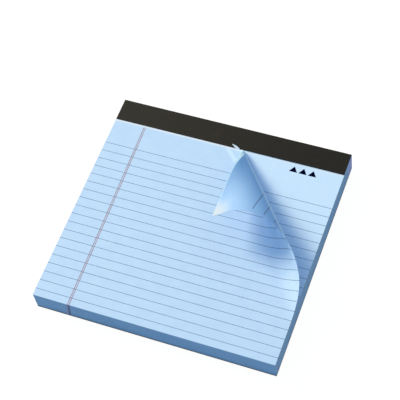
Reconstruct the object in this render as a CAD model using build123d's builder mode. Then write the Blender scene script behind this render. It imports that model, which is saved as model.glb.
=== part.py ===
"""Ruled notepad bound at the head, with its first sheet half torn off and the loose corner curled over."""
import os
from math import atan, atan2, cos, radians, sin, tan

from build123d import *

# Sizes of the pad, in millimetres. X runs across, Y from foot to head, Z up, and the pad rests on Z = 0.
pad_width = 216.0
sheet_length = 210.5
board_thickness = 1.2
block_thickness = 20.1
# Writing paper is about 0.1 thick. The loose sheet is drawn at twice that, so that it stays a sound solid.
sheet_thickness = 0.2

# Tape folded round the head, over the stubs of the sheets and under the board.
tape_thickness = 0.3
tape_front_depth = 22.0
tape_back_depth = 20.0

# Stitches of flat wire under the tape: a crown on the first sheet, two legs, and ends clinched under the board.
stitch_count = 3
stitch_spacing = 72.0
stitch_setback = 9.0
crown_length = 13.0
clinch_length = 4.5
wire_thickness = 0.5
wire_width = 0.7
wire_bend_radius = 0.8
wire_clearance = 0.05

# Tear in the first sheet. It follows the perforation in from the right-hand edge, just below the tape,
# and parts the loose sheet from its stub by the width of the torn fibres.
perforation_gap = 0.3
tear_width = 0.3
tear_length = 95.6

# Curl of the loose corner, as two round cones with one apex. The first touches the page along the line where
# the sheet leaves it, which meets the right-hand edge at a share of the way from the tear to the foot. The
# second carries on, wider, from where the first ends. Their bend radii are taken as far out as that point.
lift_share = 0.8
apex_rise = 13.4
lift_radius = 22.2
lift_turn = 78.0
roll_radius = 49.3
roll_turn = 130.0
curl_section_count = 17

# Places that follow from the sizes.
page_level = board_thickness + block_thickness + sheet_thickness
right_x = pad_width / 2
foot_y = -(sheet_length + tape_thickness) / 2
head_y = foot_y + sheet_length
stub_y = head_y - tape_front_depth - perforation_gap
tear_y = stub_y - tear_width
lift_length = (tear_y - foot_y) * lift_share


def stitch_wires(clearance):
    """All the stitches as bent flat wires, grown on every side by a clearance, for the wires and their channels."""
    leg_x = crown_length / 2
    crown_z = page_level - wire_thickness / 2
    clinch_z = tape_thickness + wire_thickness / 2
    with BuildPart() as wires:
        for index in range(stitch_count):
            centre_x = (index - (stitch_count - 1) / 2) * stitch_spacing
            with BuildSketch(Plane.XZ.offset(stitch_setback - head_y)):
                with BuildLine():
                    FilletPolyline(
                        (centre_x + leg_x - clinch_length - clearance, clinch_z),
                        (centre_x + leg_x, clinch_z),
                        (centre_x + leg_x, crown_z),
                        (centre_x - leg_x, crown_z),
                        (centre_x - leg_x, clinch_z),
                        (centre_x - leg_x + clinch_length + clearance, clinch_z),
                        radius=wire_bend_radius,
                    )
                trace(line_width=wire_thickness + clearance * 2)
            extrude(amount=wire_width / 2 + clearance, both=True)
    return wires.part


stitch_channels = stitch_wires(wire_clearance)

# Backing board, thinned at the head by the depth of the tape, so that the pad lies flat.
with BuildPart() as backing_board:
    with BuildSketch(Plane.XY):
        with Locations((0, foot_y)):
            Rectangle(pad_width, sheet_length, align=(Align.CENTER, Align.MIN))
    extrude(amount=board_thickness)
    with BuildSketch(Plane.XY):
        with Locations((0, head_y)):
            Rectangle(pad_width, tape_back_depth, align=(Align.CENTER, Align.MAX))
    extrude(amount=tape_thickness, mode=Mode.SUBTRACT)
    add(stitch_channels, mode=Mode.SUBTRACT)

# Block of sheets that are still whole.
with BuildPart() as sheet_block:
    with BuildSketch(Plane.XY.offset(board_thickness)):
        with Locations((0, foot_y)):
            Rectangle(pad_width, sheet_length, align=(Align.CENTER, Align.MIN))
    extrude(amount=block_thickness)
    add(stitch_channels, mode=Mode.SUBTRACT)

# Places on the first sheet while it was flat, and the apex of the cones that its corner now follows.
tear_end = Vector(right_x - tear_length, tear_y)
lift_point = Vector(right_x, tear_y - lift_length)
corner = Vector(right_x, tear_y)
fold_angle = atan2(-lift_length, tear_length)
apex = tear_end - Vector(apex_rise / tan(-fold_angle), -apex_rise)
lift_reach = (lift_point - apex).length
fold_direction = Vector(cos(fold_angle), sin(fold_angle))
curl_apex = apex + Vector(0, 0, page_level - sheet_thickness / 2)


def ruling(turn):
    """The straight line of the curl at a turn from the page: its plane at the apex, and its angle when flat."""
    along = fold_direction
    upward = Vector(0, 0, 1)
    flat_angle = fold_angle
    for cone_radius, cone_turn in ((lift_radius, lift_turn), (roll_radius, roll_turn)):
        cone_angle = atan(cone_radius / lift_reach)
        cone_axis = Axis((0, 0, 0), along * cos(cone_angle) + upward * sin(cone_angle))
        part_turn = min(turn, cone_turn)
        along = along.rotate(cone_axis, part_turn)
        upward = upward.rotate(cone_axis, part_turn)
        flat_angle += radians(part_turn) * sin(cone_angle)
        turn -= part_turn
    return Plane(origin=curl_apex, x_dir=along, z_dir=upward.cross(along)), flat_angle


# First sheet: the flat part with its stub, the cones, and the flat flap at the corner.
with BuildPart() as top_sheet:
    with BuildSketch(Plane.XY.offset(page_level)):
        with BuildLine():
            Polyline(
                (-right_x, foot_y),
                (right_x, foot_y),
                tuple(lift_point)[:2],
                tuple(tear_end)[:2],
                (tear_end.X, stub_y),
                (right_x, stub_y),
                (right_x, head_y),
                (-right_x, head_y),
                close=True,
            )
        make_face()
    extrude(amount=-sheet_thickness)
    for index in range(curl_section_count):
        ruling_plane, flat_angle = ruling((lift_turn + roll_turn) * index / (curl_section_count - 1))
        start = -apex_rise / sin(flat_angle)
        end = (right_x - apex.X) / cos(flat_angle)
        with BuildSketch(ruling_plane):
            with Locations(((start + end) / 2, 0)):
                Rectangle(end - start, sheet_thickness)
    loft()
    flap_plane = Plane(origin=curl_apex, x_dir=ruling_plane.x_dir, z_dir=-ruling_plane.y_dir)
    corner_angle = atan2(corner.Y - apex.Y, corner.X - apex.X) - flat_angle
    corner_reach = (corner - apex).length
    with BuildSketch(flap_plane):
        with BuildLine():
            Polyline(
                (start, 0),
                (end, 0),
                (corner_reach * cos(corner_angle), corner_reach * sin(corner_angle)),
                close=True,
            )
        make_face()
    extrude(amount=sheet_thickness / 2, both=True)
    add(stitch_channels, mode=Mode.SUBTRACT)

# Tape: one strip folded round the head, with its outer edges rounded by its own thickness.
with BuildPart() as binding_strip:
    with BuildSketch(Plane.YZ.offset(-right_x)):
        with BuildLine():
            outside = FilletPolyline(
                (head_y - tape_front_depth, page_level + tape_thickness),
                (head_y + tape_thickness, page_level + tape_thickness),
                (head_y + tape_thickness, 0),
                (head_y - tape_back_depth, 0),
                radius=tape_thickness,
            )
            Polyline(
                outside @ 1,
                (head_y - tape_back_depth, tape_thickness),
                (head_y, tape_thickness),
                (head_y, page_level),
                (head_y - tape_front_depth, page_level),
                outside @ 0,
            )
        make_face()
    extrude(amount=pad_width)

# Steel stitches, all of one kind.
staples = stitch_wires(0)

os.makedirs("parts", exist_ok=True)
backing_board.part.label = "backing_board"
export_step(backing_board.part, "parts/backing_board.step")
sheet_block.part.label = "sheet_block"
export_step(sheet_block.part, "parts/sheet_block.step")
top_sheet.part.label = "top_sheet"
export_step(top_sheet.part, "parts/top_sheet.step")
binding_strip.part.label = "binding_strip"
export_step(binding_strip.part, "parts/binding_strip.step")
staples.label = "staples"
export_step(staples, "parts/staples.step")
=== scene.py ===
# %% [markdown]
# # A ruled notepad with its first sheet half torn off
# The pad is a stack of pale blue sheets on a grey board, held at the head by stitches and a folded strip
# of black tape. The first sheet has been torn along the perforation from the right, and its loose corner
# has curled over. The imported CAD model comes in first, because the new pieces are fitted to its nodes.

import bpy
import numpy as np
from mathutils import Matrix, Vector


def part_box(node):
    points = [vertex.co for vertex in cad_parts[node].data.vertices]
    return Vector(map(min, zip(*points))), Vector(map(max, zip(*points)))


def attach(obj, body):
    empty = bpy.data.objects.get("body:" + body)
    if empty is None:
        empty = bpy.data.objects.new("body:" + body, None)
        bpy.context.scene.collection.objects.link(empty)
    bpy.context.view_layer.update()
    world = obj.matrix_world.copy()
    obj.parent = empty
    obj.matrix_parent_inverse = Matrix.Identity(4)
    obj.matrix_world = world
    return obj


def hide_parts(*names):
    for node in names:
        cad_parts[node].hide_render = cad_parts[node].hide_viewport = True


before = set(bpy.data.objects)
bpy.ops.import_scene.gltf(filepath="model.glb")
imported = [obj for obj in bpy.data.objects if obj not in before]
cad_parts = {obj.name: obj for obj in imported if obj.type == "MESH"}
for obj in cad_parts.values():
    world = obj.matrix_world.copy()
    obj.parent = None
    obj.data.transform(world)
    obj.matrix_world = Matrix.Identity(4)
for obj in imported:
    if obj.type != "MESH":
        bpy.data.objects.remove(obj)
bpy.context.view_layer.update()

# %% [markdown]
# ## Sizes taken from the model
# Everything in Blender is in metres, so millimetres get a factor of `MM`. The boxes of the CAD nodes give
# the edges of the stack and of the tape. The numbers of the tear and of the curl can't be read from a
# box, so they are repeated from the CAD source.

# %% Sizes
MM = 0.001
sheet_thickness = 0.2 * MM
perforation_gap = 0.3 * MM
tear_width = 0.3 * MM
tear_length = 95.6 * MM

stack_low, stack_high = (np.array(corner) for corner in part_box("sheet_block"))
tape_low, tape_high = (np.array(corner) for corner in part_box("binding_strip"))
left_x, right_x = stack_low[0], stack_high[0]
foot_y, head_y = stack_low[1], stack_high[1]
page_level = stack_high[2] + sheet_thickness
tape_thickness = tape_high[2] - page_level
stub_y = tape_low[1] - perforation_gap
tear_y = stub_y - tear_width
tear_x = right_x - tear_length


def in_mm(length):
    """A length in metres as millimetres, rounded to a tenth of a micron."""
    return round(float(length) / MM, 4)


print("page level", in_mm(page_level), "mm, tear at y", in_mm(tear_y), "mm from x", in_mm(tear_x), "mm")

# %% [markdown]
# A sheet of paper bends but doesn't stretch, so a curled corner is made of cones. Their straight lines
# all start from one apex, which lies near the end of the tear. A narrow cone lifts this sheet off the
# page along the fold line, and a wider one, which starts where the first ends, rolls it over. Both the
# paint and the shape of the sheet need the apex, so it is worked out before them.

# %% Apex and cones of the curl
lift_share = 0.8
apex_rise = 13.4 * MM
lift_cone = (22.2 * MM, np.radians(78.0))
roll_cone = (49.3 * MM, np.radians(130.0))

lift_length = (tear_y - foot_y) * lift_share
fold_angle = np.arctan2(-lift_length, right_x - tear_x)
apex_x = tear_x - apex_rise / np.tan(-fold_angle)
apex_y = tear_y + apex_rise
lift_reach = np.hypot(right_x - apex_x, tear_y - lift_length - apex_y)
print("fold at", round(np.degrees(fold_angle), 2), "degrees, apex at", in_mm(apex_x), in_mm(apex_y), "mm")

# %% [markdown]
# ## Camera
# The photograph looks down on the pad from the front right, with the camera rolled a little. A camera's
# own axes are right, up and backwards, so they are worked out from the two points and the roll, and put
# into the camera's matrix as its three columns. A long lens keeps the sides of the pad nearly parallel.

# %% Camera
camera_place = Vector((295.45, -500.64, 975.39)) * MM
camera_aim = Vector((-4.1, 23.31, 21.5)) * MM
camera_roll = np.radians(-11.166)

backwards = (camera_place - camera_aim).normalized()
level_right = Vector((0, 0, 1)).cross(backwards).normalized()
level_up = backwards.cross(level_right)
camera_right = level_right * np.cos(camera_roll) + level_up * np.sin(camera_roll)
camera_up = backwards.cross(camera_right)

camera_data = bpy.data.cameras.new("camera")
camera_data.lens = 116.92
camera_data.sensor_width = 36.0
camera_data.clip_end = 50.0
camera = bpy.data.objects.new("camera", camera_data)
axes = Matrix((camera_right, camera_up, backwards)).transposed().to_4x4()
camera.matrix_world = Matrix.Translation(camera_place) @ axes
bpy.context.scene.collection.objects.link(camera)
bpy.context.scene.camera = camera
print("camera", round((camera_place - camera_aim).length, 3), "m from the page")

# %% [markdown]
# ## Building materials
# A procedural material is a small network of nodes. These helpers add a node and connect what goes into
# it, so that a material further down reads like a sentence. A value may be a number, a colour or another
# node's output. Colours are written as eight-bit screen colours, and turned into linear light.

# %% Node helpers
def colour(red, green, blue):
    """Linear colour of an eight-bit screen colour: the screen curve undone for each channel."""
    share = np.array([red, green, blue]) / 255
    linear = np.where(share <= 0.04045, share / 12.92, ((share + 0.055) / 1.055) ** 2.4)
    return (*linear.tolist(), 1.0)


def feed(tree, socket, value):
    """Links an output to a socket, or sets the socket to a plain value."""
    if isinstance(value, bpy.types.NodeSocket):
        tree.links.new(value, socket)
    else:
        socket.default_value = value


def feed_all(tree, node, values):
    """Feeds several inputs of a node, which are named or numbered."""
    for key, value in values.items():
        feed(tree, node.inputs[key], value)


def add_node(tree, kind, inputs, **settings):
    """Adds a shader node with its settings and feeds its inputs."""
    node = tree.nodes.new(kind)
    for setting, value in settings.items():
        setattr(node, setting, value)
    feed_all(tree, node, inputs)
    return node


def new_material(name):
    """An empty material, its node tree and its Principled shader, already joined to the output."""
    material = bpy.data.materials.new(name)
    material.use_nodes = True
    tree = material.node_tree
    return material, tree, tree.nodes["Principled BSDF"]


print("a screen colour of 128 is", round(colour(128, 128, 128)[0], 3), "in linear light")

# %% [markdown]
# Most of a procedural material is arithmetic: a number is worked out for each point of the surface, and a
# smooth step turns it into a share of one colour in another.

# %% Arithmetic helpers
def calc(tree, operation, first, second=0.0):
    """One step of arithmetic on numbers or outputs."""
    return add_node(tree, "ShaderNodeMath", {0: first, 1: second}, operation=operation).outputs[0]


def plus(tree, first, second):
    """Sum of two numbers."""
    return calc(tree, "ADD", first, second)


def minus(tree, first, second):
    """Difference of two numbers."""
    return calc(tree, "SUBTRACT", first, second)


def times(tree, first, second):
    """Product of two numbers."""
    return calc(tree, "MULTIPLY", first, second)


def over(tree, first, second):
    """First number divided by the second."""
    return calc(tree, "DIVIDE", first, second)


def size_of(tree, value):
    """A number without its sign."""
    return calc(tree, "ABSOLUTE", value)


def fade(tree, value, start, end, low=0.0, high=1.0):
    """Smooth step of a value: low up to start, high from end on."""
    inputs = {"Value": value, "From Min": start, "From Max": end, "To Min": low, "To Max": high}
    return add_node(tree, "ShaderNodeMapRange", inputs, interpolation_type="SMOOTHSTEP").outputs["Result"]


def mix_colours(tree, share, first, second):
    """Colour between two colours by a share from 0 to 1."""
    inputs = {0: share, 6: first, 7: second}
    return add_node(tree, "ShaderNodeMix", inputs, data_type="RGBA").outputs[2]


print("arithmetic helpers ready")

# %% [markdown]
# A pattern needs to know where on the piece it is. Object coordinates give that place in metres, and they
# are turned into millimetres, which suit the marks on paper. Noise gives paper, tape and board their
# fibres, and stretching the place first draws the fibres out.

# %% Place and pattern helpers
def vector_calc(tree, operation, first, second):
    """One step of arithmetic on places, with a place or a number as its result."""
    return add_node(tree, "ShaderNodeVectorMath", {0: first, 1: second}, operation=operation).outputs


def stretched(tree, place, factors):
    """The place multiplied by a factor along each axis, which draws a pattern out along the others."""
    return vector_calc(tree, "MULTIPLY", place, factors)["Vector"]


def beside(tree, place, point, direction):
    """Distance from a point along a direction: the dot product of the direction and the way there."""
    from_point = vector_calc(tree, "SUBTRACT", place, point)["Vector"]
    return vector_calc(tree, "DOT_PRODUCT", from_point, direction)["Value"]


def away_from(tree, place, point):
    """Distance of a place from a point."""
    return vector_calc(tree, "DISTANCE", place, point)["Value"]


def object_place(tree):
    """Place on the piece in millimetres."""
    place = add_node(tree, "ShaderNodeTexCoord", {}).outputs["Object"]
    return stretched(tree, place, (1 / MM, 1 / MM, 1 / MM))


def along_axes(tree, place):
    """The X, Y and Z of a place."""
    return add_node(tree, "ShaderNodeSeparateXYZ", {0: place}).outputs


def noise(tree, place, scale, detail=2.0, roughness=0.5):
    """Cloudy noise from about 0 to 1, at a scale in features per unit of the place."""
    inputs = {"Vector": place, "Scale": scale, "Detail": detail, "Roughness": roughness}
    return add_node(tree, "ShaderNodeTexNoise", inputs).outputs["Fac"]


def bumpy(tree, height, strength, depth):
    """Normal of a surface that is roughened by a height, to a depth in metres."""
    inputs = {"Height": height, "Strength": strength, "Distance": depth}
    return add_node(tree, "ShaderNodeBump", inputs).outputs["Normal"]


print("pattern helpers ready")

# %% [markdown]
# ## Building meshes
# A mesh is a list of points, and a list of faces that name their corners by number. Both are worked out
# as whole arrays further down, and this helper puts them into an object. The faces come in groups, each
# with the material that it takes.

# %% Mesh helpers
def make_piece(name, points, face_groups, smooth_angle=40.0):
    """Puts an array of points, and groups of faces with a material each, into one object at the origin.

    A group's faces are an array with one row of point numbers per face. Edges that turn by more than the
    smooth angle stay sharp.
    """
    mesh = bpy.data.meshes.new(name)
    faces = [face for group, finish in face_groups for face in group.tolist()]
    mesh.from_pydata(points.tolist(), [], faces)
    finishes = list(dict.fromkeys(finish for group, finish in face_groups))
    for finish in finishes:
        mesh.materials.append(finish)
    numbers = [finishes.index(finish) for group, finish in face_groups]
    counts = [len(group) for group, finish in face_groups]
    mesh.polygons.foreach_set("material_index", np.repeat(numbers, counts))
    mesh.polygons.foreach_set("use_smooth", np.ones(len(faces), dtype=bool))
    mesh.update()
    mesh.set_sharp_from_angle(angle=np.radians(smooth_angle))
    piece = bpy.data.objects.new(name, mesh)
    bpy.context.scene.collection.objects.link(piece)
    print(name, "has", len(points), "points,", len(faces), "faces and", len(finishes), "materials")
    return piece


def grid_numbers(grid, first=0):
    """Numbers of the points of a grid, counted from a first one."""
    return first + np.arange(grid[..., 0].size).reshape(grid.shape[:2])


def grid_faces(numbers):
    """Quads of a grid of point numbers: a point, the next along, its upper neighbour and back."""
    corners = [numbers[:-1, :-1], numbers[1:, :-1], numbers[1:, 1:], numbers[:-1, 1:]]
    return np.stack(corners, axis=-1).reshape(-1, 4)


print("a grid of 3 by 3 points has", len(grid_faces(np.arange(9).reshape(3, 3))), "faces")

# %% [markdown]
# ## Print on the paper
# What makes paper look like a pad is its print: thin grey rules, and a pair of reddish brown lines that
# marks the margin and leans a little, because the sheets were printed slightly askew. All of it is
# measured in millimetres on the flat sheet, so on the curled sheet it reads the flat place that each
# point had before it was bent. The distance to the nearest line goes through a smooth step, which keeps a
# line soft at its edges.

# %% Rules and margin
rule_grey = colour(88, 114, 152)
margin_brown = colour(144, 97, 101)
margin_x = -77.27
margin_lean = 0.0222
margin_spacing = 1.45
margin_line_width = 0.66


def line_mask(tree, distance, width, softness=0.07):
    """1 within half a line's width, in millimetres, and 0 beyond it."""
    return fade(tree, distance, width / 2 - softness, width / 2 + softness, 1.0, 0.0)


def from_nearest(tree, steps, count):
    """Distance, in steps, to the nearest of a count of whole numbers that starts at 0."""
    at_least_first = calc(tree, "MAXIMUM", calc(tree, "ROUND", steps), 0.0)
    nearest = calc(tree, "MINIMUM", at_least_first, count - 1.0)
    return size_of(tree, minus(tree, steps, nearest))


def rules(tree, y, first, pitch, count, width):
    """Evenly spaced lines: the distance from y to the nearest of a count of lines, down from the first."""
    steps = over(tree, minus(tree, first, y), pitch)
    return line_mask(tree, times(tree, from_nearest(tree, steps, count), pitch), width)


def margin_lines(tree, x, y):
    """A pair of leaning lines: the distance from their middle, less half their spacing."""
    upright_x = plus(tree, x, times(tree, y, margin_lean))
    from_middle = size_of(tree, minus(tree, upright_x, margin_x))
    away = size_of(tree, minus(tree, from_middle, margin_spacing / 2))
    return line_mask(tree, away, margin_line_width)


print("margin", round(margin_x - in_mm(left_x), 2), "mm from the left-hand edge")

# %% [markdown]
# The second sheet has a row of three dark triangles near its head. A triangle is a range of X that
# narrows evenly from its foot to its tip, so it needs no picture. Its ink is dense and matt.

# %% Triangles
mark_navy = colour(0, 6, 40)
mark_count = 3
first_mark_x = 64.1
mark_spacing = 8.65
mark_foot_y = 73.9
mark_width = 7.6
mark_height = 5.8
side_softness = 0.06
foot_softness = 0.02


def triangles(tree, x, y):
    """A row of triangles that point to the head: the half width shrinks evenly from foot to tip."""
    steps = over(tree, minus(tree, x, first_mark_x), mark_spacing)
    across = times(tree, from_nearest(tree, steps, mark_count), mark_spacing)
    up = over(tree, minus(tree, y, mark_foot_y), mark_height)
    half = times(tree, minus(tree, 1.0, up), mark_width / 2)
    inside = fade(tree, minus(tree, half, across), -side_softness, side_softness)
    above = fade(tree, up, -foot_softness, foot_softness)
    return times(tree, inside, above)


print("triangles from y", mark_foot_y, "mm to", mark_foot_y + mark_height, "mm")

# %% [markdown]
# ## Painted highlights on the first sheet
# Two highlights are painted on the sheet: a painted highlight on the loose corner, and a painted highlight
# streak that runs down the page from the end of the tear, where the sheet starts to bend. Each is a paler
# colour whose share fades out with the distance on the flat sheet.

# %% Painted highlights of the bend and the corner
# Painted highlight colours: a streak where the sheet bends below the tear's end, and the loose corner.
bend_highlight_pale = colour(214, 241, 255)
corner_highlight_pale = colour(190, 206, 219)
highlight_streak_point = (0.8, 81.4, 0.0)
highlight_streak_across = (0.7, 0.714, 0.0)
highlight_streak_along = (0.714, -0.7, 0.0)
loose_corner = (in_mm(right_x), in_mm(tear_y), 0.0)


def painted_bend_highlight(tree, place, paint):
    """Painted highlight streak: strong near its line, and fading out at both of its ends."""
    across = size_of(tree, beside(tree, place, highlight_streak_point, highlight_streak_across))
    along = beside(tree, place, highlight_streak_point, highlight_streak_along)
    length = times(tree, fade(tree, along, -4.0, 2.0), fade(tree, along, 14.0, 28.0, 1.0, 0.0))
    share = times(tree, length, fade(tree, across, 0.4, 2.8, 0.7, 0.0))
    return mix_colours(tree, share, paint, bend_highlight_pale)


def painted_corner_highlight(tree, place, paint):
    """Painted highlight on the corner: the distance from it, made uneven by noise, through a smooth step.
    """
    unevenness = times(tree, noise(tree, place, 0.35, 3.0), 8.0)
    away = plus(tree, away_from(tree, place, loose_corner), unevenness)
    return mix_colours(tree, fade(tree, away, 10.0, 26.0, 0.95, 0.0), paint, corner_highlight_pale)


print("loose corner at", loose_corner[:2], "mm on the flat sheet")

# %% [markdown]
# Torn paper shows pale fibres, and where the tear ends it has split in its thickness and bared a lip of
# paler paper. Along the part of the perforation that still holds, short slits show.

# %% Torn edge and slits
torn_pale = colour(222, 236, 247)
lip_pale = colour(207, 242, 255)
slit_blue = colour(104, 134, 176)
perforation_y = in_mm((stub_y + tear_y) / 2)
torn_band = (in_mm(tear_y) - 1.0, in_mm(tear_y) - 0.1)
fibre_length = 0.5
slit_pitch = 1.6
slit_length = 1.0
slit_width = 0.2
dash_softness = 0.03
count_start = 300.0


def fibre_edge(tree, y, fibres):
    """Distance up the sheet, roughened by the length of the fibres."""
    return plus(tree, y, times(tree, fibres, fibre_length))


def torn(tree, x, y, fibres, paint):
    """Pale fibres along the perforation. Their lip is broad past the end of the tear and narrows again."""
    lip = times(tree, fade(tree, x, 12.0, 26.0, 0.4, 2.6), fade(tree, x, 26.0, 60.0, 1.0, 0.0))
    rough_y = plus(tree, fibre_edge(tree, y, fibres), lip)
    share = times(tree, fade(tree, rough_y, *torn_band), fade(tree, x, 20.0, 50.0, 0.9, 0.4))
    edge_pale = mix_colours(tree, fade(tree, x, 12.0, 13.5), torn_pale, lip_pale)
    return mix_colours(tree, share, paint, edge_pale)


def dashes(tree, x):
    """1 on dashes that repeat with a pitch, from the fraction of x over the pitch."""
    share = calc(tree, "FRACT", over(tree, plus(tree, x, count_start), slit_pitch))
    end = slit_length / slit_pitch
    return fade(tree, share, end - dash_softness, end + dash_softness, 1.0, 0.0)


def slit(tree, x, y, paint):
    """Short slits along the perforation, as far as the sheet still holds."""
    line = line_mask(tree, size_of(tree, minus(tree, y, perforation_y)), slit_width, 0.05)
    line = times(tree, line, times(tree, dashes(tree, x), 0.6))
    line = times(tree, line, fade(tree, x, 8.2, 8.3, 1.0, 0.0))
    return mix_colours(tree, line, paint, slit_blue)


print("slits along y", perforation_y, "mm, torn fibres from y", torn_band[0], "mm")

# %% [markdown]
# The crest of the curl is where the sheet turns back, and there light is painted on the back. It follows
# one straight line of the sheet, which starts from the apex. A broad band of painted light round that line
# is a paler blue than the rest of the back, and a narrow painted highlight on the line itself is paler
# still. The rest of the back gets deeper in tone away from the loose corner, as painted shade.

# %% Back of the first sheet
# Colours of the painted shade and painted light on the back of the sheet.
back_painted_shade = colour(89, 137, 190)
crest_painted_light = colour(126, 177, 227)
crest_painted_highlight = colour(206, 236, 255)
crest_angle = np.radians(-41.22)
across_crest = (-np.sin(crest_angle), np.cos(crest_angle), 0.0)
flat_apex = (in_mm(apex_x), in_mm(apex_y), 0.0)
least_shade_middle = (118.0, 72.0, 0.0)


def crest(tree, place, power, inner, outer, most):
    """A share along the crest, by the distance from its line over a width.

    The width is a power of the distance from the apex, so the mark fans out like the lines of a cone.
    """
    aside = size_of(tree, beside(tree, place, flat_apex, across_crest))
    width = calc(tree, "POWER", away_from(tree, place, flat_apex), power)
    return times(tree, fade(tree, over(tree, aside, width), inner, outer, 1.0, 0.0), most)


def painted_back_light_and_shade(tree, place, paint):
    """Painted shade, deeper blue away from the loose corner, and a broad band of painted light along the
    crest.
    """
    # Painted shade: the back darkens away from the loose corner.
    depth = fade(tree, away_from(tree, place, least_shade_middle), 16.0, 80.0)
    paint = mix_colours(tree, depth, paint, back_painted_shade)
    # Painted light: a paler band along the crest.
    return mix_colours(tree, crest(tree, place, 1.3, 0.025, 0.09, 0.85), paint, crest_painted_light)


print("crest", round(np.degrees(crest_angle - fold_angle), 2), "degrees from the fold line when flat")

# %% [markdown]
# ## Paper
# Writing paper is matt, with a faint cloudiness from its fibres and a soft sheen where it is seen at a
# slant. One function makes the three papers of the pad, which share the fibres and the ruling. The front
# of the first sheet has the margin, the torn fibres and slits, and painted highlights on the bend and the
# corner. Its back has the same without a margin, and painted shade and painted light as well, and the
# second sheet has the triangles, and a pale line of bruised fibres along its own perforation.

# %% Paper materials
paper_shine = 0.25
paper_sheen = 0.3
back_sheen = 1.0
sheen_tint = (0.7, 0.9, 1.0, 1.0)
back_rule_ends = (103.2, 103.6)


def paper_material(name, side, tones, ruling):
    """Ruled paper in two tones, as the front or the back of the first sheet, or as the second sheet.

    The ruling is the first rule's y, the pitch, the count and the width of the rules. The first sheet's
    place is the one that it had while flat, which it keeps as an attribute of its own.
    """
    material, tree, shader = new_material(name)
    if side == "second":
        place = object_place(tree)
    else:
        place = add_node(tree, "ShaderNodeAttribute", {}, attribute_name="flat_place").outputs["Vector"]
    axes = along_axes(tree, place)
    x, y = axes["X"], axes["Y"]
    clouds = noise(tree, place, 0.09, 3.0, 0.6)
    fibres = noise(tree, stretched(tree, place, (1.0, 0.6, 1.0)), 2.6, 3.0, 0.6)
    mottle = plus(tree, times(tree, clouds, 0.55), times(tree, fibres, 0.45))
    paint = mix_colours(tree, fade(tree, mottle, 0.3, 0.7), *tones)

    ink = fade(tree, noise(tree, place, 0.8, 2.0), 0.3, 0.7, 0.68, 1.0)
    ruled = rules(tree, y, *ruling)
    if side == "back":
        # Painted shade and painted light on the back.
        paint = painted_back_light_and_shade(tree, place, paint)
        ruled = times(tree, ruled, fade(tree, x, *back_rule_ends, 1.0, 0.0))
    paint = mix_colours(tree, times(tree, ruled, ink), paint, rule_grey)
    if side != "back":
        paint = mix_colours(tree, times(tree, margin_lines(tree, x, y), ink), paint, margin_brown)

    shine = paper_shine
    sheen = back_sheen if side == "back" else paper_sheen
    if side == "second":
        bruise = fade(tree, fibre_edge(tree, y, fibres), *torn_band, 0.0, 0.7)
        paint = mix_colours(tree, bruise, paint, torn_pale)
        marks = triangles(tree, x, y)
        paint = mix_colours(tree, marks, paint, mark_navy)
        shine = fade(tree, marks, 0.0, 1.0, shine, 0.0)
        sheen = fade(tree, marks, 0.0, 1.0, sheen, 0.0)
    else:
        # Painted highlights on the bend and the corner, with the torn fibres and the slits of the
        # perforation.
        paint = painted_bend_highlight(tree, place, paint)
        paint = torn(tree, x, y, fibres, paint)
        paint = slit(tree, x, y, paint)
        paint = painted_corner_highlight(tree, place, paint)
    if side == "back":
        # Painted highlight on the rim of the crest.
        paint = mix_colours(tree, crest(tree, place, 0.5, 0.1, 0.8, 0.7), paint, crest_painted_highlight)

    feed_all(tree, shader, {
        "Base Color": paint,
        "Specular IOR Level": shine,
        "Sheen Weight": sheen,
        "Sheen Roughness": 0.2,
        "Sheen Tint": sheen_tint,
        "Roughness": fade(tree, fibres, 0.2, 0.8, 0.68, 0.82),
        "Normal": bumpy(tree, mottle, 0.08, 0.1 * MM),
    })
    return material


front_tones = (colour(192, 222, 249), colour(185, 216, 246))
# The back's tones are the page's blue painted darker, as painted shade.
back_painted_shade_tones = (colour(155, 194, 236), colour(149, 188, 232))
second_tones = (colour(204, 232, 255), colour(199, 228, 254))
front_paper = paper_material("ruled_page_front", "front", front_tones, (56.75, 8.635, 19, 0.52))
back_paper = paper_material("ruled_page_back", "back", back_painted_shade_tones, (44.5, 10.65, 13, 0.95))
second_paper = paper_material("second_page", "second", second_tones, (47.5, 8.89, 17, 0.52))
print("paper materials:", [paper.name for paper in (front_paper, back_paper, second_paper)])

# %% [markdown]
# ## Edges of the sheets
# Seen from the side, the stack is a wall of thin blue edges. Light sinks into the gaps between the
# sheets, so the wall is painted a deeper blue than a page as painted shade, and noise drawn out along the
# sheets gives each its own tone. The margin lines run off the foot of every sheet, and their ink shows
# there as two upright streaks, which lean because the sheets have slid a little. The bottom of the foot
# is darker with painted shade, and the side on the right has painted warm light, with a lilac stain near
# the head.

# %% Edge material
# Painted warm light for the right-hand side, and painted shade for the bottom of the foot.
right_side_painted_warm_light = colour(170, 199, 218)
stain_lilac = colour(194, 198, 247)
foot_painted_shade_blue = colour(104, 144, 176)
streak_x = -77.26
streak_lean = 0.116
# For each streak: its shift, where it starts to fade, where it ends, and its ink.
streaks = (
    (1.0, 1.4, 2.8, colour(166, 180, 213)),
    (0.0, 0.5, 1.3, colour(105, 120, 160)),
)


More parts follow.
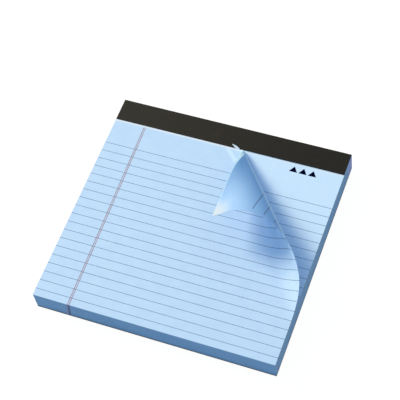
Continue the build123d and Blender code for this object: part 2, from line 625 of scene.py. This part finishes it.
def edge_material():
    """Deep blue as painted shade, in fine layers along Z, with painted warm light and a stain on the
    right, painted shade low on the foot, and the margin's ink on the foot.
    """
    material, tree, shader = new_material("sheet_edges")
    place = object_place(tree)
    axes = along_axes(tree, place)
    layers = noise(tree, stretched(tree, place, (0.012, 0.012, 4.5)), 1.0, 3.0, 0.7)
    bundles = noise(tree, stretched(tree, place, (0.02, 0.02, 0.35)), 1.0, 2.0, 0.5)
    tone = plus(tree, times(tree, layers, 0.6), times(tree, bundles, 0.4))
    # The wall's two blues are darker than a page, as painted shade in the gaps between the sheets.
    wall = mix_colours(tree, fade(tree, tone, 0.3, 0.7), colour(138, 185, 229), colour(160, 205, 241))

    # Painted warm light on the right-hand side.
    on_right = fade(tree, axes["X"], in_mm(right_x) - 0.6, in_mm(right_x) - 0.2)
    wall = mix_colours(tree, times(tree, on_right, 0.6), wall, right_side_painted_warm_light)
    stain = times(tree, fade(tree, axes["Y"], 90.0, 100.0, 0.0, 0.75), on_right)
    wall = mix_colours(tree, stain, wall, stain_lilac)

    on_foot = fade(tree, axes["Y"], in_mm(foot_y) + 0.8, in_mm(foot_y) + 1.2, 1.0, 0.0)
    # Painted shade, darker towards the bottom of the foot.
    foot_shade = times(tree, fade(tree, axes["Z"], 1.5, 6.0, 0.4, 0.0), on_foot)
    wall = mix_colours(tree, foot_shade, wall, foot_painted_shade_blue)
    upright_x = minus(tree, axes["X"], times(tree, axes["Z"], streak_lean))
    from_margin = minus(tree, upright_x, streak_x)
    for shift, inner, outer, ink in streaks:
        aside = size_of(tree, plus(tree, from_margin, shift))
        streak = times(tree, fade(tree, aside, inner, outer, 0.85, 0.0), on_foot)
        wall = mix_colours(tree, streak, wall, ink)

    feed_all(tree, shader, {
        "Base Color": wall,
        "Roughness": 0.85,
        "Specular IOR Level": 0.2,
        "Normal": bumpy(tree, layers, 0.35, 0.1 * MM),
    })
    return material


sheet_edges = edge_material()
print("edge material:", sheet_edges.name)

# %% [markdown]
# ## Tape
# Binding tape is paper-backed cloth, nearly black, with a fine grain from its crossed threads. It is
# painted a little darker towards the right, as painted shade. Handling has left faint brown scuffs on it,
# and its fold at the head is rubbed grey.

# %% Tape material
# Painted shade colour for the right-hand end of the tape.
tape_painted_shade = colour(17, 18, 18)
scuff_brown = colour(64, 46, 38)
rubbed_grey = colour(128, 126, 120)


def tape_material():
    """Warm black with a fine crossed grain and brown scuffs, painted darker towards the right as shade,
    and paler where the folded edge is rubbed.
    """
    material, tree, shader = new_material("head_tape")
    place = object_place(tree)
    axes = along_axes(tree, place)
    along = noise(tree, stretched(tree, place, (0.5, 3.0, 3.0)), 1.0, 2.0)
    across = noise(tree, stretched(tree, place, (3.0, 0.5, 0.5)), 1.0, 2.0)
    grain = times(tree, along, across)
    clouds = noise(tree, place, 0.06, 3.0, 0.6)
    tone = mix_colours(tree, fade(tree, clouds, 0.3, 0.7), colour(30, 30, 25), colour(37, 37, 32))
    tone = mix_colours(tree, fade(tree, grain, 0.15, 0.4, 0.0, 0.35), tone, colour(47, 47, 42))
    # Painted shade: the tape darkens towards the right.
    painted_shade_to_right = fade(tree, axes["X"], -130.0, 130.0, 0.0, 0.85)
    tone = mix_colours(tree, painted_shade_to_right, tone, tape_painted_shade)
    scuffs = fade(tree, noise(tree, place, 0.09, 4.0, 0.65), 0.56, 0.72, 0.0, 0.3)
    tone = mix_colours(tree, scuffs, tone, scuff_brown)

    fold = fade(tree, axes["Y"], in_mm(tape_high[1]) - 0.8, in_mm(tape_high[1]))
    high = fade(tree, axes["Z"], in_mm(tape_high[2]) - 1.0, in_mm(tape_high[2]) - 0.2)
    rubbing = fade(tree, noise(tree, stretched(tree, place, (0.15, 0.8, 0.8)), 1.0, 4.0, 0.7), 0.45, 0.75)
    rubbed = times(tree, times(tree, fold, high), rubbing)
    tone = mix_colours(tree, times(tree, rubbed, 0.6), tone, rubbed_grey)
    feed_all(tree, shader, {
        "Base Color": tone,
        "Roughness": fade(tree, clouds, 0.3, 0.7, 0.62, 0.7),
        "Specular IOR Level": 0.15,
        "Normal": bumpy(tree, grain, 0.25, 0.2 * MM),
    })
    return material


head_tape_finish = tape_material()
print("tape material:", head_tape_finish.name)

# %% [markdown]
# ## Board and wire
# The backing board is grey chipboard, pressed from waste paper, so it has fibres and specks in it. The
# stitches are drawn steel wire, hidden by the tape. The CAD model has the right shape for both, so its
# nodes only take new materials.

# %% Board and wire materials
speck_dark = colour(60, 58, 58)
speck_pale = colour(186, 180, 168)


def board_material():
    """Grey brown board, with short fibres and dark and pale specks."""
    material, tree, shader = new_material("grey_chipboard")
    place = object_place(tree)
    fibres = noise(tree, stretched(tree, place, (0.5, 2.4, 2.4)), 1.0, 4.0, 0.65)
    clouds = noise(tree, place, 0.05, 2.0)
    specks = noise(tree, place, 1.3, 1.0)
    tone = mix_colours(tree, fade(tree, fibres, 0.3, 0.7), colour(104, 99, 92), colour(138, 131, 120))
    tone = mix_colours(tree, fade(tree, clouds, 0.3, 0.7, 0.0, 0.25), tone, colour(92, 88, 84))
    tone = mix_colours(tree, fade(tree, specks, 0.68, 0.74, 0.0, 0.6), tone, speck_dark)
    tone = mix_colours(tree, fade(tree, specks, 0.3, 0.24, 0.0, 0.5), tone, speck_pale)
    feed_all(tree, shader, {
        "Base Color": tone,
        "Roughness": 0.9,
        "Specular IOR Level": 0.2,
        "Normal": bumpy(tree, fibres, 0.3, 0.2 * MM),
    })
    return material


def wire_material():
    """Drawn steel: bright, with fine scratches along the wire."""
    material, tree, shader = new_material("drawn_steel")
    scratches = noise(tree, stretched(tree, object_place(tree), (0.4, 9.0, 0.4)), 1.0, 3.0, 0.6)
    feed_all(tree, shader, {
        "Base Color": mix_colours(tree, scratches, colour(176, 177, 180), colour(208, 208, 210)),
        "Roughness": fade(tree, scratches, 0.3, 0.7, 0.26, 0.42),
        "Metallic": 1.0,
    })
    return material


for node_name, finish in (("backing_board", board_material()), ("staples", wire_material())):
    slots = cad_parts[node_name].data.materials
    slots.clear()
    slots.append(finish)
    print(node_name, "takes", finish.name)

# %% [markdown]
# ## Curl of the first sheet
# The curl could be posed by hand or left to a cloth simulation, but a formula keeps it exactly the shape
# of the CAD model. The straight lines of the sheet fan out from the apex, and each is turned a little
# further about a cone's axis. A point keeps its distance from the apex and its angle on the flat sheet.
# The turns use up the angle, in proportion to the sine of the cone's half angle, and the rest of the
# corner stays flat.

# %% Lines of the curl
fold_line = np.array([np.cos(fold_angle), np.sin(fold_angle), 0.0])
upright = np.array([0.0, 0.0, 1.0])


def turned(vectors, axes, angles):
    """Turn about an axis, row by row: what lies along the axis stays, and the rest turns round it."""
    cosine = np.cos(angles)[:, None]
    sine = np.sin(angles)[:, None]
    kept = np.sum(vectors * axes, axis=1)[:, None] * axes
    return vectors * cosine + np.cross(axes, vectors) * sine + kept * (1 - cosine)


def curl_lines(flat_angles):
    """Direction and page normal of the sheet's straight line at each flat angle.

    Each cone turns the lines until its own turn or the flat angle is used up. The rest fans out flat.
    """
    along = np.tile(fold_line, (len(flat_angles), 1))
    normal = np.tile(upright, (len(flat_angles), 1))
    left = flat_angles - fold_angle
    for radius, most_turn in (lift_cone, roll_cone):
        half_angle = np.arctan(radius / lift_reach)
        axes = along * np.cos(half_angle) + normal * np.sin(half_angle)
        turn = np.clip(left / np.sin(half_angle), 0.0, most_turn)
        along = turned(along, axes, turn)
        normal = turned(normal, axes, turn)
        left = left - turn * np.sin(half_angle)
    across = np.cross(normal, along)
    return along * np.cos(left)[:, None] + across * np.sin(left)[:, None], normal


tip_angle = np.arctan2(-apex_rise, right_x - apex_x)
tip_line, tip_normal = curl_lines(np.array([tip_angle]))
apex = np.array([apex_x, apex_y, page_level - sheet_thickness / 2])
tip_point = apex + np.hypot(apex_rise, right_x - apex_x) * tip_line
tip_flat = np.array([[right_x, tear_y, 0.0]])
print("loose corner, in millimetres, at", (tip_point[0] / MM).round(1))

# %% [markdown]
# The torn edge isn't smooth: each bridge of the perforation leaves a tooth of torn fibres. The columns of
# the grid follow the torn edge in steps of a quarter of a millimetre, fine enough for the teeth, and the
# rows follow the cone's straight lines from the torn edge to the right-hand edge of the sheet.

# %% Points of the curl
edge_step_count = 382
row_count = 40
tooth_pitch = 1.6 * MM
teeth_start = 1.5 * MM


def wave(places, length, phase):
    """Sine wave of a length along the places."""
    return np.sin(places / length * 2 * np.pi + phase)


def torn_teeth(places, phase):
    """Height of the torn fibres along a tear: a wave for the perforation, roughened by two other waves.

    They grow from nothing over the first stretch of the tear.
    """
    rough = wave(places, 0.71 * MM, 1.3) + wave(places, 4.3 * MM, phase)
    teeth = (wave(places, tooth_pitch, phase) * 0.12 + rough * 0.06) * MM
    return teeth * np.clip((places - tear_x) / teeth_start, 0.0, 1.0)


row_shares = np.linspace(0.0, 1.0, row_count + 1) ** 1.25
edge_x = np.linspace(tear_x, right_x, edge_step_count + 1)[:-1]
flat_angles = np.arctan2(-apex_rise, edge_x - apex_x)
starts = np.hypot(apex_rise, edge_x - apex_x) + torn_teeth(edge_x, 0.0)
ends = (right_x - apex_x) / np.cos(flat_angles)
reaches = starts[:, None] + (ends - starts)[:, None] * row_shares
lines, normals = curl_lines(flat_angles)
curl_points = apex + reaches[..., None] * lines[:, None, :]
curl_normals = np.repeat(normals[:, None, :], row_count + 1, axis=1)
curl_flat = np.stack([
    apex_x + reaches * np.cos(flat_angles)[:, None],
    apex_y + reaches * np.sin(flat_angles)[:, None],
    np.zeros_like(reaches),
], axis=-1)
print("curl grid", curl_points.shape, "with its top at z", in_mm(curl_points[..., 2].max()), "mm")

# %% [markdown]
# ## Flat part of the first sheet
# The rest of the sheet lies on the stack. Its rows end on the line where the curl leaves the page, so
# that it shares those points with the curl, and carry on below it to the foot. Above the tear the stub
# goes on under the tape, and right of the tear's end only the stub is left.

# %% Points of the flat part
column_count = 25
tongue_start = 0.966
below_row_count = 5
under_tape = np.array([10.0, 4.0]) * MM

flat_columns = np.linspace(0.0, 1.0, column_count)
flat_columns[-2] = tongue_start
stub_rows = np.append(tape_low[1] + under_tape, stub_y)
tear_row = len(stub_rows)
fold_y = tear_y - lift_length * row_shares
fold_x = tear_x + (right_x - tear_x) * row_shares
below_y = np.linspace(fold_y[-1], foot_y, below_row_count + 1)[1:]
flat_y = np.concatenate([stub_rows, fold_y, below_y])
flat_end = np.concatenate([np.full(tear_row, tear_x), fold_x, np.full(below_row_count, right_x)])
flat_grid = np.stack([
    left_x + (flat_end - left_x)[:, None] * flat_columns,
    np.repeat(flat_y[:, None], column_count, axis=1),
    np.full((len(flat_y), column_count), apex[2]),
], axis=-1)

stub_x = np.append(edge_x[1:], right_x)
stub_grid = np.stack([
    np.repeat(stub_x[None, :], tear_row, axis=0),
    np.repeat(stub_rows[:, None], len(stub_x), axis=1),
    np.full((tear_row, len(stub_x)), apex[2]),
], axis=-1)
stub_grid[-1, :, 1] = stub_y + torn_teeth(stub_x, 2.0) * 0.5
print("flat grid", flat_grid.shape, "stub grid", stub_grid.shape)

# %% [markdown]
# At its end the tear has split. A pointed tongue of the sheet, four millimetres wide at its foot, has
# come away from the stub and stands up over the tape. Its foot is the last step of the flat part's edge,
# and its two sides draw together towards the tip while it rises, quickly at first, to clear the tape.

# %% Points of the tongue
tongue_step_count = 8
tongue_tips = np.array([[3.75, 85.6, 23.0], [3.85, 85.7, 23.0]]) * MM
tongue_bow = np.array([0.35, 0.8]) * MM

tongue_shares = np.linspace(0.0, 1.0, tongue_step_count + 1)[1:, None]
tongue_foot = flat_grid[tear_row, -2:]
tongue_grid = tongue_foot + (tongue_tips - tongue_foot) * tongue_shares[..., None]
tongue_grid[:, 1, :2] += np.sin(tongue_shares * np.pi) * tongue_bow
tongue_grid[..., 2] = apex[2] + (tongue_tips[0, 2] - apex[2]) * tongue_shares ** 0.55
print("tip of the tongue, in millimetres, at", (tongue_grid[-1, 0] / MM).round(2))

# %% [markdown]
# The grids are numbered together. The curl's first column is the flat part's last one, so it takes its
# numbers, and the corner of the sheet closes the curl with a fan of triangles. Behind the tongue's foot
# one face of the flat part is left out, because the tear goes on there.

# %% Faces of the first sheet
flat_numbers = grid_numbers(flat_grid)
curl_numbers = grid_numbers(curl_points[1:], flat_numbers.size)
curl_start = flat_numbers[tear_row:tear_row + row_count + 1, -1]
curl_numbers = np.concatenate([curl_start[None, :], curl_numbers])
tip_number = curl_numbers.max() + 1
stub_numbers = grid_numbers(stub_grid, tip_number + 1)
stub_numbers = np.concatenate([flat_numbers[:tear_row, -1:], stub_numbers], axis=1)
tongue_numbers = grid_numbers(tongue_grid, stub_numbers.max() + 1)
tongue_numbers = np.concatenate([flat_numbers[tear_row, -2:][None, :], tongue_numbers])[::-1]

split_face = tear_row * (column_count - 1) - 1
quads = np.concatenate([
    np.delete(grid_faces(flat_numbers), split_face, axis=0),
    grid_faces(curl_numbers.T), grid_faces(stub_numbers), grid_faces(tongue_numbers),
])
last_line = curl_numbers[-1]
fan = np.stack([last_line[1:], np.full(row_count, tip_number), last_line[:-1]], axis=1)
print("first sheet has", len(quads), "quads and a fan of", len(fan), "triangles on each side")

# %% [markdown]
# The sheet gets its thickness by moving each point half of it along the normal, to the front and to the
# back, and a rim joins the two faces along every edge that has only one face. Each point also keeps its
# place on the flat sheet as an attribute, in millimetres, for the print to read.

# %% First sheet
half_sheet = 0.09 * MM


def all_points(*grids):
    """Grids as one list of points, in the order of their numbers."""
    return np.concatenate([grid.reshape(-1, 3) for grid in grids])


def rim_edges(quads, fan):
    """Directed edges that belong to one face only: those whose two ends occur together just once."""
    edges = np.concatenate([
        np.stack([faces, np.roll(faces, -1, axis=1)], axis=-1).reshape(-1, 2) for faces in (quads, fan)
    ])
    ordered = np.sort(edges, axis=1)
    kinds, where, times_used = np.unique(ordered, axis=0, return_inverse=True, return_counts=True)
    return edges[times_used[where.ravel()] == 1]


def facing_up(grid):
    """The upright normal at every point of a grid."""
    return np.broadcast_to(upright, grid.shape)


middle = all_points(flat_grid, curl_points[1:], tip_point, stub_grid, tongue_grid)
normal = all_points(
    facing_up(flat_grid), curl_normals[1:], tip_normal, facing_up(stub_grid), facing_up(tongue_grid),
)
flat_place = all_points(flat_grid, curl_flat[1:], tip_flat, stub_grid, tongue_grid)
flat_place[:, 2] = 0.0

count = len(middle)
rim = rim_edges(quads, fan)
rim_quads = np.stack([rim[:, 0], rim[:, 0] + count, rim[:, 1] + count, rim[:, 1]], axis=1)
first_sheet = make_piece(
    "first_sheet",
    np.concatenate([middle + normal * half_sheet, middle - normal * half_sheet]),
    [
        (quads, front_paper),
        (fan, front_paper),
        (quads[:, ::-1] + count, back_paper),
        (fan[:, ::-1] + count, back_paper),
        (rim_quads, front_paper),
    ],
)
place_attribute = first_sheet.data.attributes.new("flat_place", "FLOAT_VECTOR", "POINT")
place_attribute.data.foreach_set("vector", (np.concatenate([flat_place, flat_place]) / MM).ravel())
print("rim of", len(rim_quads), "faces")

# %% [markdown]
# ## Stack of sheets
# The sheets under the first one are trimmed together, so their edges are flush to about a tenth of a
# millimetre. One parameter runs round the rectangle and the other up through the sheets. Each sheet is
# set back by its own small amount, a little more in some bundles than in others, so that light catches
# the steps.

# %% Stack
sheet_count = 100
side_step_count = 12
even_trim = 0.05 * MM
bundle_trim = 0.02 * MM
sheet_trim = 0.03 * MM
top_gap = 0.01 * MM
random = np.random.default_rng(7)


def stack_walls():
    """Round a rectangle in one parameter, and up through two rows per sheet in the other.

    Each sheet is the stack's rectangle, drawn in by a random amount along X and along Y. Two slow waves
    draw whole bundles in a little further.
    """
    share = np.linspace(-1.0, 1.0, side_step_count + 1)[:-1]
    edge = np.ones(side_step_count)
    round_x = np.concatenate([share, edge, -share, -edge])
    round_y = np.concatenate([-edge, share, edge, -share])
    order = np.arange(sheet_count)
    bundles = np.sin(order * 0.37) + np.sin(order * 0.11 + 1.0)
    by_chance = random.random((sheet_count, 2))
    draw_in = even_trim + bundle_trim * bundles[:, None] + sheet_trim * by_chance
    draw_in = np.repeat(np.clip(draw_in, 0.0, None), 2, axis=0)
    levels = np.linspace(stack_low[2], stack_high[2] - top_gap, sheet_count + 1)
    z = np.repeat(levels, 2)[1:-1]
    half = (stack_high - stack_low) / 2
    middle = (stack_high + stack_low) / 2
    x = middle[0] + (half[0] - draw_in[:, :1]) * round_x
    y = middle[1] + (half[1] - draw_in[:, 1:]) * round_y
    return np.stack([x, y, np.repeat(z[:, None], len(round_x), axis=1)], axis=-1)


walls = stack_walls()
wall_numbers = grid_numbers(walls)
closed_numbers = np.concatenate([wall_numbers, wall_numbers[:, :1]], axis=1)
sheet_stack = make_piece(
    "sheet_stack",
    walls.reshape(-1, 3),
    [
        (wall_numbers[-1:], second_paper),
        (grid_faces(closed_numbers.T), sheet_edges),
        (wall_numbers[:1, ::-1], sheet_edges),
    ],
    smooth_angle=20.0,
)

# %% [markdown]
# ## Tape round the head
# The tape is one strip of even thickness, folded over the head. Its outline is drawn once, as a closed
# loop in Y and Z with rounded folds, and carried along X from side to side. The front has the most
# points, because the crowns of the stitches show through it.

# %% Outline of the tape
tape_back_depth = 20.0 * MM
fold_radius = 0.45 * MM
front_step_count = 48
step_count = 12
edge_count = 2
fold_point_count = 7


def fold_arc(centre_y, centre_z, start, end):
    """Quarter turn of a fold, as points in Y and Z."""
    angles = np.radians(np.linspace(start, end, fold_point_count))
    turn = np.stack([np.cos(angles), np.sin(angles)], axis=1)
    return np.array([centre_y, centre_z]) + fold_radius * turn


def run(start, end, count):
    """Straight run of points from start to end, without the last."""
    return np.linspace(start, end, count + 1)[:-1]


front_y, outer_y = tape_low[1], tape_high[1]
back_y = head_y - tape_back_depth
top_z = tape_high[2]
folded_y = outer_y - fold_radius
folded_z = top_z - fold_radius
tape_outline = np.concatenate([
    run((front_y, page_level), (front_y, top_z), edge_count),
    run((front_y, top_z), (folded_y, top_z), front_step_count),
    fold_arc(folded_y, folded_z, 90.0, 0.0),
    run((outer_y, folded_z), (outer_y, fold_radius), step_count)[1:],
    fold_arc(folded_y, fold_radius, 0.0, -90.0),
    run((folded_y, 0.0), (back_y, 0.0), step_count)[1:],
    run((back_y, 0.0), (back_y, tape_thickness), edge_count),
    run((back_y, tape_thickness), (head_y, tape_thickness), step_count),
    run((head_y, tape_thickness), (head_y, page_level), step_count),
    run((head_y, page_level), (front_y, page_level), step_count),
])
print("tape outline of", len(tape_outline), "points")

# %% [markdown]
# Where the crown of a stitch lies under the tape, the tape is pushed up a little: the height falls off
# with the distance from the crown, as a bell curve. Carried along X, the outline is a grid of points,
# which is closed round the strip and capped at both ends.

# %% Tape
stitch_spacing = 72 * MM
stitch_setback = 9.0 * MM
crown_half = 6.2 * MM
bump_height = 0.14 * MM
bump_reach = 1.0 * MM
tape_column_count = 241


def stitch_bumps(x, y):
    """Height of the tape over the crowns: a bell of the distance to the nearest of three crowns."""
    nearest = np.clip(np.round(x / stitch_spacing), -1, 1) * stitch_spacing
    beyond = np.maximum(np.abs(x - nearest) - crown_half, 0.0)
    away = np.hypot(beyond, y - (head_y - stitch_setback))
    return bump_height * np.exp(-(away / bump_reach) ** 2)


tape_x = np.linspace(left_x, right_x, tape_column_count)
tape_points = np.stack([
    np.repeat(tape_x[:, None], len(tape_outline), axis=1),
    np.repeat(tape_outline[None, :, 0], tape_column_count, axis=0),
    np.repeat(tape_outline[None, :, 1], tape_column_count, axis=0),
], axis=-1)
on_top = tape_points[..., 2] > top_z - 0.01 * MM
tape_points[..., 2] += on_top * stitch_bumps(tape_points[..., 0], tape_points[..., 1])
tape_numbers = grid_numbers(tape_points)
tape_loops = np.concatenate([tape_numbers, tape_numbers[:, :1]], axis=1)
head_tape = make_piece(
    "head_tape",
    tape_points.reshape(-1, 3),
    [
        (grid_faces(tape_loops)[:, ::-1], head_tape_finish),
        (tape_numbers[:1], head_tape_finish),
        (tape_numbers[-1:, ::-1], head_tape_finish),
    ],
)

# %% [markdown]
# ## Joining the pieces to the model
# Each new piece rides on the model's only body, and stands for the CAD node whose place it takes, which is
# hidden. The finish that the record gives each piece is listed beside it, but not used.

# %% Pieces on the body
for piece, node_name, finish in (
    (first_sheet, "top_sheet", "blue_paper"),
    (sheet_stack, "sheet_block", "blue_paper"),
    (head_tape, "binding_strip", "binding_tape"),
):
    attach(piece, "root")
    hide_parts(node_name)
    print(piece.name, "stands for", node_name)

# %% [markdown]
# ## Floor
# The pad lies on a white table. A white floor would throw much light back at the sides of the pad, so
# only the camera and reflections see it white: most of that white is a glow, and the rest is lit, which
# keeps the pad's faint shadow.

# %% Floor
floor_half = 3.0
floor_level = -0.2 * MM
floor_grey = (0.35, 0.35, 0.35, 1.0)
floor_lit = (0.1, 0.1, 0.1, 1.0)
warm_white = (1.0, 1.0, 0.985, 1.0)
floor_glow = 0.955


def seen_directly(tree):
    """1 for rays from the camera, from reflections and through glass, and 0 for the light on the pad."""
    path = add_node(tree, "ShaderNodeLightPath", {})
    seen = calc(tree, "MAXIMUM", path.outputs["Is Camera Ray"], path.outputs["Is Glossy Ray"])
    return calc(tree, "MAXIMUM", seen, path.outputs["Is Transmission Ray"])


def join_by_ray(tree, output, unseen, seen):
    """Joins one shader for the light on the pad and one for what is seen directly to the tree's output."""
    inputs = {0: seen_directly(tree), 1: unseen.outputs[0], 2: seen.outputs[0]}
    either = add_node(tree, "ShaderNodeMixShader", inputs)
    add_node(tree, output, {"Surface": either.outputs[0]})


floor_mesh = bpy.data.meshes.new("floor")
floor_corners = np.array([(-1, -1), (1, -1), (1, 1), (-1, 1)]) * floor_half
floor_points = np.column_stack([floor_corners, np.full(4, floor_level)])
floor_mesh.from_pydata(floor_points.tolist(), [], [(0, 1, 2, 3)])
floor = bpy.data.objects.new("floor", floor_mesh)
bpy.context.scene.collection.objects.link(floor)

floor_finish = bpy.data.materials.new("white_table")
floor_finish.use_nodes = True
tree = floor_finish.node_tree
tree.nodes.clear()
dull = add_node(tree, "ShaderNodeBsdfDiffuse", {"Color": floor_grey})
lit = add_node(tree, "ShaderNodeBsdfDiffuse", {"Color": floor_lit})
glow = add_node(tree, "ShaderNodeEmission", {"Color": warm_white, "Strength": floor_glow})
white = add_node(tree, "ShaderNodeAddShader", {0: lit.outputs[0], 1: glow.outputs[0]})
join_by_ray(tree, "ShaderNodeOutputMaterial", dull, white)
floor_mesh.materials.append(floor_finish)
print("floor", 2 * floor_half, "m across, at z", in_mm(floor_level), "mm")

# %% [markdown]
# ## Light
# One large soft lamp stands at the back left, about six metres off, and is a little warm. The world adds
# an even light from all round, which is bluish, so shadows on the paper are a deeper blue. The camera
# sees a white background instead of that blue.

# %% World and lamp
sky_blue = (0.605, 0.776, 1.0, 1.0)
sky_strength = 0.65
lamp_place = Vector((-4.79, 1.61, 3.24))
lamp_aim = Vector((0, 0, 0.02))

world = bpy.data.worlds.new("studio")
bpy.context.scene.world = world
world.use_nodes = True
tree = world.node_tree
tree.nodes.clear()
even_light = add_node(tree, "ShaderNodeBackground", {"Color": sky_blue, "Strength": sky_strength})
white_sky = add_node(tree, "ShaderNodeBackground", {"Color": warm_white, "Strength": 1.0})
join_by_ray(tree, "ShaderNodeOutputWorld", even_light, white_sky)

lamp_data = bpy.data.lights.new("key_lamp", "AREA")
lamp_data.size = 2.1
lamp_data.energy = 412.0
lamp_data.color = (1.0, 0.832, 0.593)
lamp = bpy.data.objects.new("key_lamp", lamp_data)
lamp.location = lamp_place
lamp.rotation_euler = (lamp_aim - lamp_place).to_track_quat("-Z", "Y").to_euler()
bpy.context.scene.collection.objects.link(lamp)
bpy.context.scene.view_settings.view_transform = "Standard"
print("lamp", round((lamp_place - lamp_aim).length, 2), "m from the pad")
